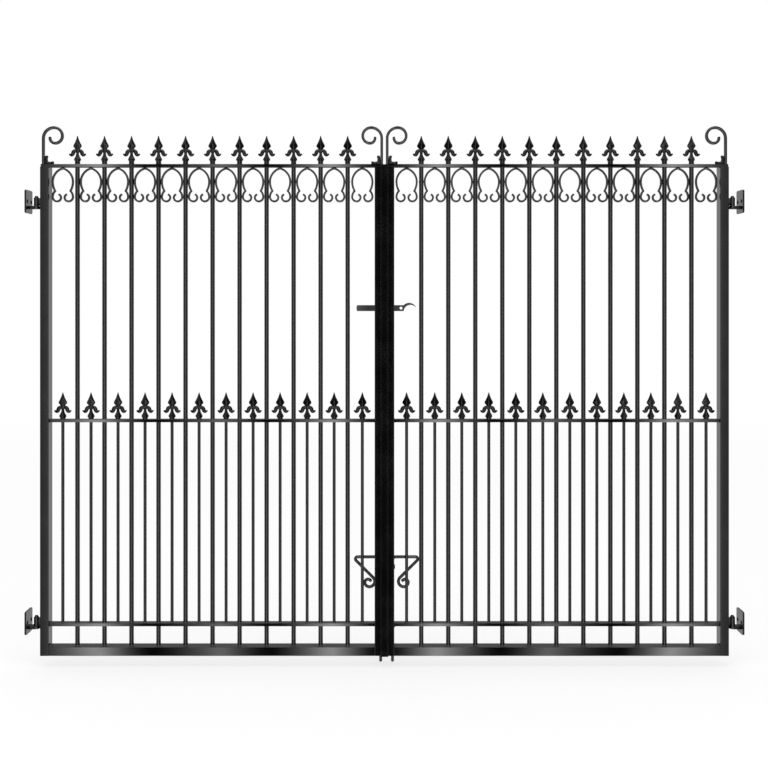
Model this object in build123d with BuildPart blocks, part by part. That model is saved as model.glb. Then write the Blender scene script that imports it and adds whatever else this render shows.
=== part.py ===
from build123d import *

import os
from math import ceil, degrees

# A double wrought iron driveway gate that swings inward on four pin hinges.
# Millimetres. The origin is the middle of the lower left bracket's wall face.
# X runs across the opening, Y runs inward and Z runs up.
# Names that end in _HEIGHT are measured up from the underside of the frame.

# Frame
LEAF_WIDTH = 1186
LEAF_GAP = 8
STILE_FACE = 30
STILE_DEPTH = 40
TUBE_WALL = 2.5
TUBE_CORNER = 2
RAIL_TALL = 30
FLAT_DEPTH = 25
FLAT_THICK = 10
LOWER_FLAT_HEIGHT = 100
MIDDLE_FLAT_HEIGHT = 806
TOP_FLAT_HEIGHT = 1690

# Bars
BAR_COUNT = 11
BAR_SIZE = 16
DOG_BAR_SIZE = 11
BAR_SIDES = 8
PUNCH_CLEARANCE = 0.1

# Cast spearheads, measured up from the widest line of the lower bud
SOCKET_WIDTH = 17.5
MAIN_BUD_LIFT = 17
DOG_BUD_LIFT = 10
BUD_FOOT = 7
BUD_WIDTH = 25
BUD_DEPTH = 18
STEM_RISE = 21
STEM_WIDTH = 6
NECK_RISE = 33.5
NECK_WIDTH = 11
SPEAR_RISE = 47
SPEAR_WIDTH = 29.5
SPEAR_DEPTH = 13
TIP_RISE = 83
TIP_WIDTH = 1.2

# Corners of a spearhead's right arm, as reach from the middle and rise above the bud
ARM_DEPTH = 9
ARM_TOP = (0, 35.5)
ARM_CREST = (12, 35.5)
ARM_SHOULDER = (18.6, 31.5)
HOOK_NOTCH = (20.7, 21)
HOOK_TIP = (30, 21)
HOOK_HEEL = (25.2, 13.5)
HOOK_BELLY = (18.6, 10.5)
HOOK_INSIDE = (12.9, 14.5)
ARM_THROAT = (7.2, 24)
ARM_UNDERSIDE = (0, 26)

# Arch rings
RING_BAR = 7
RING_DEPTH = 8
RING_SEAT_GAP = 0.2
RING_DROP = 118
RING_FACET_ANGLE = 40
SHOULDER_RADIUS = 48.5
SHOULDER_ANGLE = 52
SHOULDER_DROP = 50
CUSP_DROP = 82
CUSP_INSET = 8.5
FEET_GAP = 5.4
FOOT_TUCK = 2
FOOT_END_TUCK = 2.5
FOOT_END_ANGLE = 75

# Corner scrolls and leaves
SCROLL_BAR = 11
SCROLL_TALL = 133
SCROLL_RADII = (37, 29, 25.3, 17.5)
LEAF_CAST_WIDE = 34
LEAF_CAST_TALL = 34
LEAF_CAST_DEPTH = 10
LEAF_CAST_WAIST = 6.5
LEAF_BUD = 9.5

# Hinges
LOWER_HINGE_HEIGHT = 114
UPPER_HINGE_DROP = 120
AXIS_TO_STILE = 18.5
AXIS_TO_WALL = 31
PIN_RADIUS = 6
PIN_CLEARANCE = 0.05
PIN_STAND = 6
PIN_CHAMFER = 1.5
EYE_RADIUS = 9
EYE_TALL = 29
SHANK_RADIUS = 7
SHANK_CLEARANCE = 0.1
SHANK_INSIDE = 14
LOCK_NUT_THICK = 9
LOCK_NUT_FLATS = 24
PLATE_THICK = 6
PLATE_DEEP = 60
PLATE_TALL = 80
PLATE_CORNER = 6
SCREW_SPACING = 36
SCREW_RADIUS = 4.5
SCREW_HEAD_RADIUS = 8
LUG_THICK = 10
LUG_RADIUS = 12
LUG_SEAT_GAP = 0.3

# Drop bolts on the inside, each with a handle that curls away from the gap.
# A bolt is round: its few flat sides lie inside BOLT_RADIUS.
BOLT_RADIUS = 5.5
BOLT_BEHIND_STILE = 11
LEFT_BOLT_FROM_MIDDLE = 13.3
RIGHT_BOLT_FROM_MIDDLE = 28.1
BOLT_TIP_DROP = 37
BOLT_TIP_CHAMFER = 1.5
HANDLE_HEIGHT = 329
HANDLE_REACH = 99
HANDLE_TOP_RADIUS = 12
HANDLE_CORNER_RADIUS = 7.5
HANDLE_DIAGONAL = 72.6
CURL_RADII = (19, 15.5, 11)
CURL_ANGLES = (135, 90, 150)
GUIDE_CLEARANCE = 0.4
GUIDE_WIDE = 18
GUIDE_TALL = 10
GUIDE_WALL = 3.5
LOWER_GUIDE_HEIGHT = 85
UPPER_GUIDE_HEIGHT = 290

# Closing strip on the front of the right leaf
STRIP_WIDTH = 26
STRIP_THICK = 4
STRIP_CLEARANCE = 5
STRIP_TOP_GAP = 3

# Latch lever on the back of the right leaf
LEVER_HEIGHT = 1201
LEVER_TALL = 21
LEVER_THICK = 5
LEVER_CLEARANCE = 5
LEVER_LEFT_REACH = 96
LEVER_RIGHT_REACH = 67.5
LEVER_END_BULGE = 2
LEVER_TAIL_REACH = 111
LEVER_TAIL_RISE = 18.5
LEVER_TAIL_THICK = 7.5
LOCK_HOLE_RADIUS = 4.9
LOCK_HOLE_REACH = 58
PIVOT_RADIUS = 4
PIVOT_CLEARANCE = 0.1
PIVOT_BOSS_RADIUS = 10
PIVOT_HEAD_RADIUS = 8
PIVOT_HEAD_THICK = 5
SIDE_PLAY = 0.3
REST_WIDE = 20
REST_THICK = 5
REST_PLATE_TALL = 26
REST_LIP = 4

# Positions that follow from the sizes above
UPPER_HINGE_HEIGHT = TOP_FLAT_HEIGHT - UPPER_HINGE_DROP
LEAF_START = AXIS_TO_WALL + AXIS_TO_STILE
LEAF_END = LEAF_START + LEAF_WIDTH
MIDDLE_X = LEAF_END + LEAF_GAP / 2
INNER_START = LEAF_START + STILE_FACE
INNER_END = LEAF_END - STILE_FACE
PITCH = (INNER_END - INNER_START) / (BAR_COUNT + 1)
BAR_XS = [INNER_START + PITCH * (i + 1) for i in range(BAR_COUNT)]
BAY_LEFTS = [INNER_START] + [x + BAR_SIZE / 2 for x in BAR_XS]
BAY_RIGHTS = [x - BAR_SIZE / 2 for x in BAR_XS] + [INNER_END]
BAY_XS = [(left + right) / 2 for left, right in zip(BAY_LEFTS, BAY_RIGHTS)]
STILE_BACK = STILE_DEPTH / 2
STILE_FRONT = -STILE_DEPTH / 2
MIRROR_PLANE = Plane.YZ.offset(MIDDLE_X)


def level(height):
    """Z of a height above the underside of the frame."""
    return height - LOWER_HINGE_HEIGHT


def save(piece, name):
    piece.part.label = name
    export_step(piece.part, f"parts/{name}.step")


def save_pair(piece, name):
    """Writes the left leaf's piece, and its mirror image as the right leaf's."""
    save(piece, f"left_{name}")
    with BuildPart() as opposite:
        mirror(piece.part, about=MIRROR_PLANE)
    save(opposite, f"right_{name}")


def at(xs, z):
    return Locations(*[(x, 0, z) for x in xs])


os.makedirs("parts", exist_ok=True)

# Stiles, closed at the foot and open under the top flat
stile_top = level(TOP_FLAT_HEIGHT)


def stile_tube(centre_x):
    with BuildSketch(Plane.XY.offset(level(0))) as outside:
        with Locations((centre_x, 0)):
            RectangleRounded(STILE_FACE, STILE_DEPTH, TUBE_CORNER)
    extrude(outside.sketch, amount=TOP_FLAT_HEIGHT)
    with BuildSketch(Plane.XY.offset(level(TUBE_WALL))) as inside:
        with Locations((centre_x, 0)):
            Rectangle(STILE_FACE - 2 * TUBE_WALL, STILE_DEPTH - 2 * TUBE_WALL)
    extrude(inside.sketch, amount=TOP_FLAT_HEIGHT - TUBE_WALL, mode=Mode.SUBTRACT)


with BuildPart() as hinge_stile:
    stile_tube(LEAF_START + STILE_FACE / 2)
    with BuildSketch(Plane.YZ.offset(LEAF_START)):
        with Locations((0, level(LOWER_HINGE_HEIGHT)), (0, level(UPPER_HINGE_HEIGHT))):
            Circle(SHANK_RADIUS + SHANK_CLEARANCE)
    extrude(amount=TUBE_WALL, mode=Mode.SUBTRACT)
save_pair(hinge_stile, "hinge_stile")

with BuildPart() as meeting_stile:
    stile_tube(LEAF_END - STILE_FACE / 2)
save_pair(meeting_stile, "meeting_stile")

# Bottom rail, a tube butted between the stiles
with BuildPart() as bottom_rail:
    with BuildSketch(Plane.YZ.offset(INNER_START)):
        with Locations((0, level(RAIL_TALL / 2))):
            Rectangle(STILE_DEPTH, RAIL_TALL)
            Rectangle(STILE_DEPTH - 2 * TUBE_WALL, RAIL_TALL - 2 * TUBE_WALL, mode=Mode.SUBTRACT)
    extrude(amount=INNER_END - INNER_START)
save_pair(bottom_rail, "bottom_rail")


def bar_section(size, mode=Mode.ADD):
    """One bar's section, with two of its sides square to the rails."""
    RegularPolygon(size / 2, BAR_SIDES, major_radius=False, rotation=180 / BAR_SIDES, mode=mode)


def punched_flat(start_x, end_x, height, punched):
    """A flat on its side, with a hole for each bar: punched lists (bar centres, bar size)."""
    with BuildSketch(Plane.XY.offset(level(height))) as outline:
        with Locations(((start_x + end_x) / 2, 0)):
            Rectangle(end_x - start_x, FLAT_DEPTH)
        for centres, size in punched:
            with Locations(*[(x, 0) for x in centres]):
                bar_section(size + 2 * PUNCH_CLEARANCE, mode=Mode.SUBTRACT)
    extrude(outline.sketch, amount=FLAT_THICK)


main_holes = (BAR_XS, BAR_SIZE)
dog_holes = (BAY_XS, DOG_BAR_SIZE)

with BuildPart() as lower_flat:
    punched_flat(INNER_START, INNER_END, LOWER_FLAT_HEIGHT, [main_holes])
save_pair(lower_flat, "lower_flat")

with BuildPart() as middle_flat:
    punched_flat(INNER_START, INNER_END, MIDDLE_FLAT_HEIGHT, [main_holes, dog_holes])
save_pair(middle_flat, "middle_flat")

with BuildPart() as top_flat:
    punched_flat(LEAF_START, LEAF_END, TOP_FLAT_HEIGHT, [main_holes])
save_pair(top_flat, "top_flat")


def bars(centres, size, foot_height, head_height):
    with BuildSketch(Plane.XY.offset(level(foot_height))) as sections:
        with Locations(*[(x, 0) for x in centres]):
            bar_section(size)
    extrude(sections.sketch, amount=head_height - foot_height)


# Main bars stand on the bottom rail and end flush with the top flat
top_seat = TOP_FLAT_HEIGHT + FLAT_THICK
with BuildPart() as main_bars:
    bars(BAR_XS, BAR_SIZE, RAIL_TALL, top_seat)
save_pair(main_bars, "main_bars")

# Dog bars stand on the lower flat and end flush with the middle flat
middle_seat = MIDDLE_FLAT_HEIGHT + FLAT_THICK
with BuildPart() as dog_bars:
    bars(BAY_XS, DOG_BAR_SIZE, LOWER_FLAT_HEIGHT + FLAT_THICK, middle_seat)
save_pair(dog_bars, "dog_bars")


def faceted(depth_share, *levels):
    """A flat-sided form through diamonds, each given as (z, width), all of one proportion."""
    diamonds = []
    for z, width in levels:
        with BuildSketch(Plane.XY.offset(z)) as section:
            side = width / 2
            front = side * depth_share
            Polygon((side, 0), (0, front), (-side, 0), (0, -front), align=None)
        diamonds.append(section.sketch)
    loft(diamonds, ruled=True)


def spearhead(bud_lift):
    """A cast spearhead on its own seat, with its bud bud_lift above the seat."""
    stem = (bud_lift + STEM_RISE, STEM_WIDTH)
    with BuildPart() as casting:
        faceted(
            BUD_DEPTH / BUD_WIDTH,
            (bud_lift - BUD_FOOT, SOCKET_WIDTH),
            (bud_lift, BUD_WIDTH),
            stem,
        )
        faceted(
            SPEAR_DEPTH / SPEAR_WIDTH,
            stem,
            (bud_lift + NECK_RISE, NECK_WIDTH),
            (bud_lift + SPEAR_RISE, SPEAR_WIDTH),
            (bud_lift + TIP_RISE, TIP_WIDTH),
        )
        with BuildSketch():
            bar_section(SOCKET_WIDTH)
        extrude(amount=bud_lift)
        with BuildSketch(Plane(origin=(0, 0, bud_lift), x_dir=(1, 0, 0), z_dir=(0, -1, 0))):
            with BuildLine():
                Polyline(
                    ARM_TOP,
                    ARM_CREST,
                    ARM_SHOULDER,
                    HOOK_NOTCH,
                    HOOK_TIP,
                    HOOK_HEEL,
                    HOOK_BELLY,
                    HOOK_INSIDE,
                    ARM_THROAT,
                    ARM_UNDERSIDE,
                    close=True,
                )
            make_face()
            mirror(about=Plane.YZ)
        extrude(amount=ARM_DEPTH / 2, both=True)
    return casting.part


main_spearhead = spearhead(MAIN_BUD_LIFT)
with BuildPart() as spearheads:
    with at(BAR_XS, level(top_seat)):
        add(main_spearhead)
save_pair(spearheads, "spearheads")

dog_spearhead = spearhead(DOG_BUD_LIFT)
with BuildPart() as dog_spearheads:
    with at(BAY_XS, level(middle_seat)):
        add(dog_spearhead)
save_pair(dog_spearheads, "dog_spearheads")

# Arch rings: one bent bar a bay, from foot scroll to crown to foot scroll.
# The outline below is the right half, from the foot's inner end to the crown,
# with Z measured from the underside of the top flat. Each foot curls in by FOOT_TUCK,
# then by FOOT_END_TUCK, and stops FEET_GAP short of the other foot.
ring_reach = PITCH / 2 - BAR_SIZE / 2 - RING_SEAT_GAP - RING_BAR / 2
foot_wide = ring_reach - RING_BAR / 2 - FEET_GAP / 2
foot_radius = (foot_wide + FOOT_TUCK) / 2
foot_inner_radius = foot_wide - foot_radius
foot_end_radius = foot_inner_radius - FOOT_END_TUCK
foot_low = -RING_DROP
foot_side = foot_low + foot_radius
foot_x = ring_reach - foot_radius
cusp = (ring_reach - CUSP_INSET, -CUSP_DROP)
widest = (ring_reach, -SHOULDER_DROP)
crown = (0, -RING_BAR / 2)
foot_end_centre = (foot_x - FOOT_END_TUCK, foot_low + foot_inner_radius)
with BuildLine() as half_ring:
    foot_end = CenterArc(foot_end_centre, foot_end_radius, 180 - FOOT_END_ANGLE, FOOT_END_ANGLE)
    foot_inner = CenterArc((foot_x, foot_low + foot_inner_radius), foot_inner_radius, 180, 90)
    foot_outer = CenterArc((foot_x, foot_side), foot_radius, 270, 90)
    ankle = TangentArc((ring_reach, foot_side), cusp, tangent=(0, 1))
    waist = TangentArc(widest, cusp, tangent=(0, -1))
    shoulder = CenterArc((ring_reach - SHOULDER_RADIUS, widest[1]), SHOULDER_RADIUS, 0, SHOULDER_ANGLE)
    arch = TangentArc(shoulder @ 1, crown, tangent=shoulder % 1)


def chord_points(arc, backwards=False):
    """Points along an arc, at most RING_FACET_ANGLE apart, without the first one."""
    count = ceil(degrees(arc.length / arc.radius) / RING_FACET_ANGLE)
    steps = [(i + 1) / count for i in range(count)]
    points = [arc @ (1 - step if backwards else step) for step in steps]
    return [(point.X, point.Y) for point in points]


start = foot_end @ 0
half = [(start.X, start.Y)] + chord_points(foot_end) + chord_points(foot_inner)
half += chord_points(foot_outer) + chord_points(ankle) + chord_points(waist, backwards=True)
half += chord_points(shoulder) + chord_points(arch)
whole = half + [(-x, z) for x, z in reversed(half[:-1])]
with BuildPart() as ring:
    with BuildLine(Plane.XZ):
        bend = Polyline(*whole)
    with BuildSketch(Plane(origin=bend @ 0, x_dir=(0, 1, 0), z_dir=bend % 0)):
        Rectangle(RING_DEPTH, RING_BAR)
    sweep(transition=Transition.RIGHT)
    split(bisect_by=Plane.XY, keep=Keep.BOTTOM)
with BuildPart() as arch_rings:
    with at(BAY_XS, stile_top):
        add(ring.part)
save_pair(arch_rings, "arch_rings")

# Corner scrolls: built at the outer edge of a stile, curling towards +X.
# The stem starts a bar's width below its seat, where the rounded end is cut away.
top_z = level(top_seat)
scroll_line = SCROLL_BAR / 2
first, second, third, fourth = SCROLL_RADII
with BuildPart() as scroll:
    with BuildSketch(Plane.XZ):
        with BuildLine():
            stem = Line((scroll_line, -SCROLL_BAR), (scroll_line, SCROLL_TALL - scroll_line - first))
            turn = stem
            for radius in (first, second, third, fourth):
                turn = JernArc(turn @ 1, turn % 1, radius, -90)
            offset(amount=SCROLL_BAR / 2, kind=Kind.ARC, side=Side.BOTH)
        make_face()
    extrude(amount=SCROLL_BAR / 2, both=True)
    split(bisect_by=Plane.XY, keep=Keep.TOP)

# Cast leaf in the corner between a scroll and the top flat
with BuildPart() as corner_leaf:
    with BuildSketch(Plane.XZ):
        with BuildLine():
            up = Line((0, 0), (0, LEAF_CAST_TALL))
            across = Line((0, 0), (LEAF_CAST_WIDE, 0))
            bud_top = ThreePointArc(
                up @ 1,
                (LEAF_BUD, LEAF_CAST_TALL - LEAF_BUD / 2),
                (LEAF_CAST_WAIST, LEAF_CAST_TALL - LEAF_BUD),
            )
            bud_side = ThreePointArc(
                across @ 1,
                (LEAF_CAST_WIDE - LEAF_BUD / 2, LEAF_BUD),
                (LEAF_CAST_WIDE - LEAF_BUD, LEAF_CAST_WAIST),
            )
            hollow = (LEAF_CAST_WAIST + LEAF_BUD / 3, LEAF_CAST_WAIST + LEAF_BUD / 3)
            ThreePointArc(bud_top @ 1, hollow, bud_side @ 1)
        make_face()
    extrude(amount=LEAF_CAST_DEPTH / 2, both=True)


def at_both_stiles(shape, inset):
    """Puts a corner piece at each end of the left leaf, facing over the leaf."""
    with Locations((LEAF_START + inset, 0, top_z)):
        add(shape)
    mirror(shape.moved(Location((LEAF_START + inset, 0, top_z))), about=LEAF_PLANE)


LEAF_PLANE = Plane.YZ.offset((LEAF_START + LEAF_END) / 2)
with BuildPart() as corner_scrolls:
    at_both_stiles(scroll.part, 0)
save_pair(corner_scrolls, "corner_scrolls")

with BuildPart() as corner_leaves:
    at_both_stiles(corner_leaf.part, SCROLL_BAR)
save_pair(corner_leaves, "corner_leaves")

# Hinge eyes, each a barrel on a shank that screws into the stile
HINGE_ZS = [level(LOWER_HINGE_HEIGHT), level(UPPER_HINGE_HEIGHT)]
shank_end = LEAF_START + TUBE_WALL + SHANK_INSIDE
with BuildPart() as eye:
    with BuildSketch(Plane.XY.offset(-EYE_TALL / 2)):
        with Locations((AXIS_TO_WALL, 0)):
            Circle(EYE_RADIUS)
    extrude(amount=EYE_TALL)
    with BuildSketch(Plane.YZ.offset(AXIS_TO_WALL)):
        Circle(SHANK_RADIUS)
    extrude(amount=shank_end - AXIS_TO_WALL)
    with Locations((AXIS_TO_WALL, 0, 0)):
        Cylinder(PIN_RADIUS + PIN_CLEARANCE, EYE_TALL, mode=Mode.SUBTRACT)
with BuildPart() as hinge_eyes:
    with Locations(*[(0, 0, z) for z in HINGE_ZS]):
        add(eye.part)
save_pair(hinge_eyes, "hinge_eyes")

with BuildPart() as lock_nuts:
    with BuildSketch(Plane.YZ.offset(LEAF_START - LOCK_NUT_THICK)):
        with Locations(*[(0, z) for z in HINGE_ZS]):
            RegularPolygon(LOCK_NUT_FLATS / 2, 6, major_radius=False, rotation=30)
            Circle(SHANK_RADIUS + SHANK_CLEARANCE, mode=Mode.SUBTRACT)
    extrude(amount=LOCK_NUT_THICK)
save_pair(lock_nuts, "lock_nuts")

# Wall brackets: plate, lug under the eye, and the upright pin
lug_top = -EYE_TALL / 2 - LUG_SEAT_GAP
with BuildPart() as bracket:
    with BuildSketch(Plane.YZ):
        RectangleRounded(PLATE_DEEP, PLATE_TALL, PLATE_CORNER)
    extrude(amount=PLATE_THICK)
    with BuildSketch(Plane.XY.offset(lug_top)):
        with Locations((AXIS_TO_WALL / 2 + PLATE_THICK / 2, 0)):
            Rectangle(AXIS_TO_WALL - PLATE_THICK, 2 * LUG_RADIUS)
        with Locations((AXIS_TO_WALL, 0)):
            Circle(LUG_RADIUS)
    extrude(amount=-LUG_THICK)
    with BuildSketch(Plane.XY.offset(lug_top)):
        with Locations((AXIS_TO_WALL, 0)):
            Circle(PIN_RADIUS)
    extrude(amount=EYE_TALL + LUG_SEAT_GAP + PIN_STAND)
    chamfer(edges(Select.LAST).group_by(Axis.Z)[-1], PIN_CHAMFER)
    with Locations(Plane.YZ.offset(PLATE_THICK)):
        with GridLocations(SCREW_SPACING, 1, 2, 1):
            CounterSinkHole(SCREW_RADIUS, SCREW_HEAD_RADIUS, depth=PLATE_THICK)
for place, z in zip(("lower", "upper"), HINGE_ZS):
    with BuildPart() as left_bracket:
        with Locations((0, 0, z)):
            add(bracket.part)
    save(left_bracket, f"{place}_left_bracket")
    with BuildPart() as right_bracket:
        mirror(left_bracket.part, about=MIRROR_PLANE)
    save(right_bracket, f"{place}_right_bracket")

# Drop bolts and their guides
bolt_y = STILE_BACK + BOLT_BEHIND_STILE


def drop_bolt(bolt_x, away):
    """A bent rod: away is -1 or 1, the side of X that the handle points to."""
    arm_z = level(HANDLE_HEIGHT)
    corner_x = bolt_x + away * HANDLE_REACH
    fall = HANDLE_DIAGONAL
    bolt_plane = Plane.XZ.offset(-bolt_y)
    with BuildPart() as bolt:
        with BuildLine(bolt_plane):
            path = FilletPolyline(
                (bolt_x, level(-BOLT_TIP_DROP)),
                (bolt_x, arm_z),
                (corner_x, arm_z),
                (corner_x - away * fall, arm_z - fall),
                radius=[HANDLE_TOP_RADIUS, HANDLE_CORNER_RADIUS],
            )
            turn = path
            for radius, angle in zip(CURL_RADII, CURL_ANGLES):
                turn = JernArc(turn @ 1, turn % 1, radius, away * angle)
        with BuildSketch(Plane(origin=path @ 0, z_dir=path % 0)):
            RegularPolygon(BOLT_RADIUS, BAR_SIDES)
        sweep()
        chamfer(edges().group_by(Axis.Z)[0], BOLT_TIP_CHAMFER)
    return bolt


def bolt_guides(bolt_x):
    guide_deep = BOLT_BEHIND_STILE + BOLT_RADIUS + GUIDE_WALL
    with BuildPart() as guides:
        for height in (LOWER_GUIDE_HEIGHT, UPPER_GUIDE_HEIGHT):
            with BuildSketch(Plane.XY.offset(level(height))):
                with Locations((bolt_x, STILE_BACK + guide_deep / 2)):
                    Rectangle(GUIDE_WIDE, guide_deep)
                with Locations((bolt_x, bolt_y)):
                    Circle(BOLT_RADIUS + GUIDE_CLEARANCE, mode=Mode.SUBTRACT)
            extrude(amount=GUIDE_TALL)
    return guides


left_bolt_x = MIDDLE_X - LEFT_BOLT_FROM_MIDDLE
right_bolt_x = MIDDLE_X + RIGHT_BOLT_FROM_MIDDLE
save(drop_bolt(left_bolt_x, -1), "left_drop_bolt")
save(drop_bolt(right_bolt_x, 1), "right_drop_bolt")
save(bolt_guides(left_bolt_x), "left_bolt_guides")
save(bolt_guides(right_bolt_x), "right_bolt_guides")

# Closing strip: a stepped bar welded to the right meeting stile
RIGHT_STILE_START = MIDDLE_X + LEAF_GAP / 2
strip_back = STILE_FRONT - STRIP_CLEARANCE
with BuildPart() as closing_strip:
    with BuildSketch(Plane.XY.offset(level(0))):
        with Locations((MIDDLE_X, strip_back - STRIP_THICK / 2)):
            Rectangle(STRIP_WIDTH, STRIP_THICK)
        foot_wide = STRIP_WIDTH / 2 - LEAF_GAP / 2
        with Locations((RIGHT_STILE_START + foot_wide / 2, (STILE_FRONT + strip_back) / 2)):
            Rectangle(foot_wide, STRIP_CLEARANCE)
    extrude(amount=top_seat - STRIP_TOP_GAP)
save(closing_strip, "closing_strip")

# Latch lever, its pivot on the right leaf and its rest on the left leaf
pivot_x = RIGHT_STILE_START + STILE_FACE / 2
lever_z = level(LEVER_HEIGHT)
lever_front = STILE_BACK + LEVER_CLEARANCE
half_tall = LEVER_TALL / 2
with BuildPart() as latch_lever:
    with BuildSketch(Plane.XZ.offset(-lever_front)) as lever_face:
        with BuildLine():
            left = MIDDLE_X - LEVER_LEFT_REACH
            right = MIDDLE_X + LEVER_RIGHT_REACH
            tail_end = MIDDLE_X + LEVER_TAIL_REACH
            tail_mid = (right + tail_end) / 2
            tail_top = lever_z + LEVER_TAIL_RISE
            ThreePointArc(
                (left, lever_z - half_tall),
                (left - LEVER_END_BULGE, lever_z),
                (left, lever_z + half_tall),
            )
            Line((left, lever_z + half_tall), (right, lever_z + half_tall))
            ThreePointArc(
                (right, lever_z + half_tall),
                (tail_mid, tail_top),
                (tail_end, lever_z),
            )
            ThreePointArc(
                (tail_end, lever_z),
                (tail_mid, tail_top - LEVER_TAIL_THICK),
                (right, lever_z - half_tall),
            )
            Line((right, lever_z - half_tall), (left, lever_z - half_tall))
        make_face()
        with Locations((MIDDLE_X + LOCK_HOLE_REACH, lever_z)):
            Circle(LOCK_HOLE_RADIUS, mode=Mode.SUBTRACT)
        with Locations((pivot_x, lever_z)):
            Circle(PIVOT_RADIUS + PIVOT_CLEARANCE, mode=Mode.SUBTRACT)
    extrude(amount=-LEVER_THICK)
save(latch_lever, "latch_lever")

boss_end = lever_front - SIDE_PLAY
head_start = lever_front + LEVER_THICK + SIDE_PLAY


def round_from(start_y, end_y, radius):
    with BuildSketch(Plane.XZ.offset(-start_y)) as disc:
        with Locations((pivot_x, lever_z)):
            Circle(radius)
    extrude(disc.sketch, amount=-(end_y - start_y))


with BuildPart() as latch_pivot:
    round_from(STILE_BACK, boss_end, PIVOT_BOSS_RADIUS)
    round_from(boss_end, head_start, PIVOT_RADIUS)
    round_from(head_start, head_start + PIVOT_HEAD_THICK, PIVOT_HEAD_RADIUS)
save(latch_pivot, "latch_pivot")

rest_x = LEAF_END - STILE_FACE / 2
rest_top = lever_z - half_tall - SIDE_PLAY
rest_reach = LEVER_CLEARANCE + LEVER_THICK + REST_LIP
with BuildPart() as latch_rest:
    with BuildSketch(Plane.YZ.offset(rest_x - REST_WIDE / 2)):
        with BuildLine():
            Polyline(
                (STILE_BACK, rest_top),
                (STILE_BACK + rest_reach, rest_top),
                (STILE_BACK + rest_reach, rest_top - REST_THICK),
                (STILE_BACK + REST_THICK, rest_top - REST_PLATE_TALL),
                (STILE_BACK, rest_top - REST_PLATE_TALL),
                close=True,
            )
        make_face()
    extrude(amount=REST_WIDE)
save(latch_rest, "latch_rest")
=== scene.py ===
import math

import bmesh
import bpy
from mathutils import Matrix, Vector


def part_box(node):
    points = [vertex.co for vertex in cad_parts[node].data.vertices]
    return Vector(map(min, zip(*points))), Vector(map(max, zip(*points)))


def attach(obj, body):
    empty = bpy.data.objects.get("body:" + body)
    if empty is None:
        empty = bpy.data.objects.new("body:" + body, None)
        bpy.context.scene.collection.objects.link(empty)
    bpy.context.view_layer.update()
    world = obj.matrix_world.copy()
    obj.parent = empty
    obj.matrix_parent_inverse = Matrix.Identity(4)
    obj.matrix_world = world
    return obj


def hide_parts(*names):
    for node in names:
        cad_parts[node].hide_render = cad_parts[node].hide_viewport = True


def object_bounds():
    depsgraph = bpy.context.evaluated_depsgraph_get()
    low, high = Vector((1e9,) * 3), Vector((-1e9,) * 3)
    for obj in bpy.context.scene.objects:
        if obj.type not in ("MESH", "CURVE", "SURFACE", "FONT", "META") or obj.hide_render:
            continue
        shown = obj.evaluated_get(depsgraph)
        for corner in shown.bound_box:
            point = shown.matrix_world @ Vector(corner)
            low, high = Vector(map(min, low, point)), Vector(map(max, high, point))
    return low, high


# The double wrought iron driveway gate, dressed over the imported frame. Metres.
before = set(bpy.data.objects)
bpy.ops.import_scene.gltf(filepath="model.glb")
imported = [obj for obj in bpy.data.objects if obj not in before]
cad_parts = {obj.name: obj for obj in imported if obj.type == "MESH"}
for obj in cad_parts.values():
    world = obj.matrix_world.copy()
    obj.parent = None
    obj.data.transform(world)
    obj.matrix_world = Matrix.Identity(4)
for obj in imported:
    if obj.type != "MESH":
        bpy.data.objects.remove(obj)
cad_box = [list(corner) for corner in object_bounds()]

MM = 0.001
SIDES = ("left", "right")


def low(node):
    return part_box(node)[0]


def high(node):
    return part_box(node)[1]


# Places read from the frame
MIDDLE_X = (low("left_hinge_stile").x + high("right_hinge_stile").x) / 2
LEAF_START = low("left_top_flat").x
LEAF_END = high("left_top_flat").x
INNER_START = low("left_bottom_rail").x
INNER_END = high("left_bottom_rail").x
RAIL_TOP = high("left_bottom_rail").z
TOP_SEAT = high("left_top_flat").z
TOP_UNDER = low("left_top_flat").z
DOG_SEAT = high("left_middle_flat").z
BAR_RADIUS = high("left_main_bars").y
DOG_RADIUS = high("left_dog_bars").y
BAR_COUNT = 11
FIRST_BAR = low("left_main_bars").x + BAR_RADIUS
LAST_BAR = high("left_main_bars").x - BAR_RADIUS
PITCH = (LAST_BAR - FIRST_BAR) / (BAR_COUNT - 1)
BAR_XS = [FIRST_BAR + PITCH * i for i in range(BAR_COUNT)]
BAY_LEFTS = [INNER_START] + [x + BAR_RADIUS for x in BAR_XS]
BAY_RIGHTS = [x - BAR_RADIUS for x in BAR_XS] + [INNER_END]
BAY_XS = [(a + b) / 2 for a, b in zip(BAY_LEFTS, BAY_RIGHTS)]

# Camera: level, square to the gate, found from the photograph's perspective
CAMERA_PLACE = (1.2379, -3.320, 1.109)
CAMERA_LENS = 44.8
CAMERA_SENSOR = 36
CAMERA_SHIFT_Y = -0.107


def add_camera():
    data = bpy.data.cameras.new("camera")
    data.lens = CAMERA_LENS
    data.sensor_width = CAMERA_SENSOR
    data.shift_y = CAMERA_SHIFT_Y
    camera = bpy.data.objects.new("camera", data)
    camera.location = CAMERA_PLACE
    camera.rotation_euler = (math.radians(90), 0, 0)
    bpy.context.scene.collection.objects.link(camera)
    bpy.context.scene.camera = camera


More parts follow.
